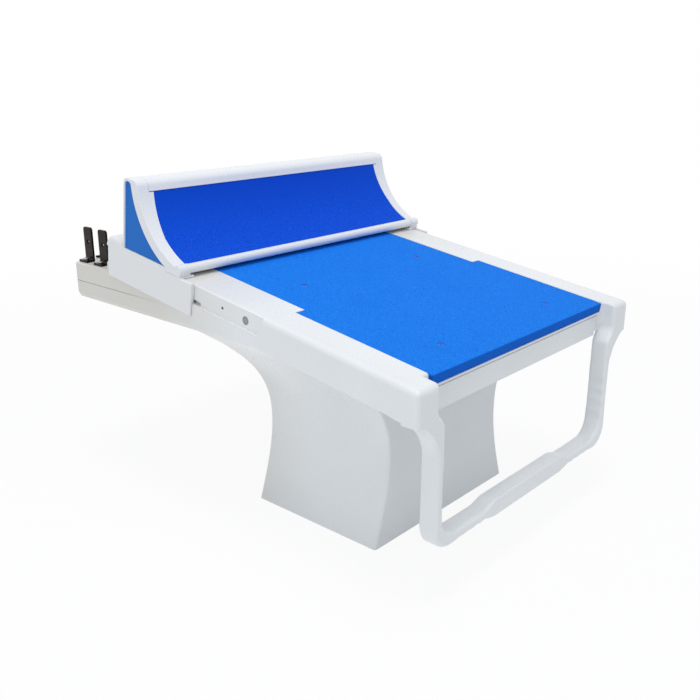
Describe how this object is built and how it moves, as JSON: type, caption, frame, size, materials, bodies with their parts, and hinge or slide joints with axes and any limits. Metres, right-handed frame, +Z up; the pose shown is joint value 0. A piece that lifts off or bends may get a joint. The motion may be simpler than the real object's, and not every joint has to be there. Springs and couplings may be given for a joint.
{
  "type": "swimming starting block",
  "caption": "Swimming starting block: waisted pedestal, sloping deck with non-slip mat, backstroke hand grip and a sliding kick plate that locks in steps.",
  "frame": {"origin": "middle of the pedestal's foot, on the floor", "axes": "+Z up, +Y away from the pool towards the kick plate, +X to the right of a swimmer who stands on the deck facing away from the pool"},
  "size_m": [0.628, 0.8, 0.5792],
  "materials": {
    "white_shell": "glossy white moulded glass-fibre plastic",
    "white_frame": "glossy white coated frame",
    "blue_mat": "bright blue grained non-slip covering",
    "blue_panel": "blue grained non-slip covering on a curved plate",
    "blue_cheek": "smooth mid blue sheet",
    "grey_plug": "flat grey plastic plug",
    "steel": "plain stainless steel",
    "dark_steel": "shiny black painted steel",
    "zinc": "plain stainless fastener",
    "pale_plastic": "low-friction pale plastic",
    "black_plastic": "black moulded knob"
  },
  "bodies": {
    "block": {"pedestal_shell": "white_shell", "deck_shell": "white_shell", "hand_grip": "white_shell", "grip_stud_left": "steel", "grip_stud_right": "steel", "top_mat": "blue_mat", "mat_board": "white_shell", "mat_screw_1": "zinc", "mat_screw_2": "zinc", "mat_screw_3": "zinc", "mat_screw_4": "zinc", "rail_plug_left": "grey_plug", "rail_plug_right": "grey_plug", "rail_screw_left": "zinc", "rail_screw_right": "zinc", "index_strip": "steel", "floor_plate": "steel", "anchor_washer_1": "zinc", "anchor_washer_2": "zinc", "anchor_washer_3": "zinc", "anchor_washer_4": "zinc", "anchor_bolt_1": "zinc", "anchor_bolt_2": "zinc", "anchor_bolt_3": "zinc", "anchor_bolt_4": "zinc", "frame_column": "steel", "frame_beam_left": "steel", "frame_beam_right": "steel", "frame_cross_front": "steel", "frame_cross_rear": "steel", "rear_bracket_rear": "dark_steel", "rear_bracket_front": "dark_steel", "bracket_screw_rear": "zinc", "bracket_screw_front": "zinc", "rear_bar": "dark_steel"},
    "kick_plate": {"carriage_saddle": "white_shell", "slide_runner_left": "pale_plastic", "slide_runner_right": "pale_plastic", "kick_rail_left": "white_frame", "kick_rail_right": "white_frame", "kick_cheek_left": "blue_cheek", "kick_cheek_right": "blue_cheek", "kick_panel": "blue_panel", "kick_top_rail": "white_frame", "kick_tube": "white_frame", "kick_back": "white_frame", "kick_rib_left": "pale_plastic", "kick_rib_right": "pale_plastic", "lock_barrel": "steel", "lock_spring": "zinc"},
    "lock_plunger": {"lock_pin": "steel", "lock_knob": "black_plastic"}
  },
  "joints": [
    {"name": "kick_plate_slide", "type": "slide", "parent": "block", "child": "kick_plate", "axis": [0, -0.9887, -0.1499], "range_m": [0, 0.14]},
    {"name": "lock_plunge", "type": "slide", "parent": "kick_plate", "child": "lock_plunger", "axis": [0, -0.1499, 0.9887], "range_m": [-0.012, 0]}
  ]
}
